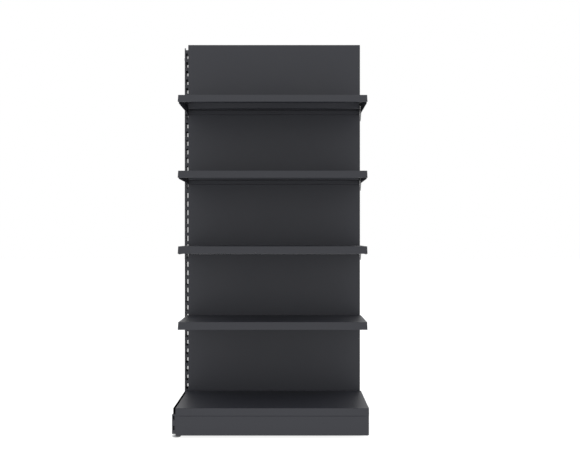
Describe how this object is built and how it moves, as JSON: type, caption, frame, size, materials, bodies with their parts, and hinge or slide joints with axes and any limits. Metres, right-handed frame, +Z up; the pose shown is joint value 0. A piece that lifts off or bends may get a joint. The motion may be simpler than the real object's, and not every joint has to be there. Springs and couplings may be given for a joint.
{
  "type": "wall shelving unit",
  "caption": "Steel shop shelving bay with slotted upright, base leg, back panels, base deck with plinth and lift-off shelves on hook-in brackets; the right side joins the next bay.",
  "frame": {"origin": "on the floor, at the middle of the footprint", "axes": "+X to the right seen from the front, +Y to the back, +Z up"},
  "size_m": [1.021, 0.565, 2.1406],
  "materials": {
    "grey_coat": "fine semi-gloss powder coat, anthracite",
    "black_coat": "matt black",
    "zinc_plate": "bright zinc plate"
  },
  "bodies": {
    "frame": {"upright": "grey_coat", "upright_foot_plate": "grey_coat", "base_leg": "grey_coat", "leg_foot_plate": "grey_coat", "leg_bolts": "zinc_plate", "leg_nuts": "zinc_plate", "deck_carrier": "black_coat", "front_lock_nut": "zinc_plate", "rear_lock_nut": "zinc_plate", "lower_cross_tie": "grey_coat", "upper_cross_tie": "grey_coat", "tie_bolts": "zinc_plate", "tie_nuts": "zinc_plate", "plinth": "grey_coat", "back_panel_1": "grey_coat", "back_panel_2": "grey_coat", "back_panel_3": "grey_coat", "back_panel_4": "grey_coat", "back_panel_5": "grey_coat", "bracket_1_left": "grey_coat", "bracket_1_right": "grey_coat", "bracket_2_left": "grey_coat", "bracket_2_right": "grey_coat", "bracket_3_left": "grey_coat", "bracket_3_right": "grey_coat", "bracket_4_left": "grey_coat", "bracket_4_right": "grey_coat"},
    "front_foot_pad": {"front_foot_pad": "zinc_plate"},
    "front_foot_spindle": {"front_foot_spindle": "zinc_plate"},
    "rear_foot_pad": {"rear_foot_pad": "zinc_plate"},
    "rear_foot_spindle": {"rear_foot_spindle": "zinc_plate"},
    "base_deck": {"base_deck": "grey_coat", "base_deck_front_stiffener": "grey_coat", "base_deck_rear_stiffener": "grey_coat"},
    "shelf_1": {"shelf_1": "grey_coat", "shelf_1_stiffener": "grey_coat"},
    "shelf_2": {"shelf_2": "grey_coat", "shelf_2_stiffener": "grey_coat"},
    "shelf_3": {"shelf_3": "grey_coat", "shelf_3_stiffener": "grey_coat"},
    "shelf_4": {"shelf_4": "grey_coat", "shelf_4_stiffener": "grey_coat"}
  },
  "joints": [
    {"name": "shelf_1_lift_off", "type": "slide", "parent": "frame", "child": "shelf_1", "axis": [0, 0, 1], "range_m": [0, 0.1]},
    {"name": "shelf_2_lift_off", "type": "slide", "parent": "frame", "child": "shelf_2", "axis": [0, 0, 1], "range_m": [0, 0.1]},
    {"name": "shelf_3_lift_off", "type": "slide", "parent": "frame", "child": "shelf_3", "axis": [0, 0, 1], "range_m": [0, 0.1]},
    {"name": "shelf_4_lift_off", "type": "slide", "parent": "frame", "child": "shelf_4", "axis": [0, 0, 1], "range_m": [0, 0.1]},
    {"name": "base_deck_lift_off", "type": "slide", "parent": "frame", "child": "base_deck", "axis": [0, 0, 1], "range_m": [0, 0.1]},
    {"name": "front_foot_travel", "type": "slide", "parent": "frame", "child": "front_foot_pad", "axis": [0, 0, -1], "range_m": [0, 0.025]},
    {"name": "front_foot_turn", "type": "hinge", "parent": "front_foot_pad", "child": "front_foot_spindle", "pos_m": [-0.4885, -0.2345, 0.012], "axis": [0, 0, -1], "range_deg": [0, 6000]},
    {"name": "rear_foot_travel", "type": "slide", "parent": "frame", "child": "rear_foot_pad", "axis": [0, 0, -1], "range_m": [0, 0.025]},
    {"name": "rear_foot_turn", "type": "hinge", "parent": "rear_foot_pad", "child": "rear_foot_spindle", "pos_m": [-0.4885, 0.2425, 0.012], "axis": [0, 0, -1], "range_deg": [0, 6000]}
  ],
  "couplings": [
    {"joint": "front_foot_turn", "follows": "front_foot_travel", "rad_per_m": 4188.8},
    {"joint": "rear_foot_turn", "follows": "rear_foot_travel", "rad_per_m": 4188.8}
  ]
}
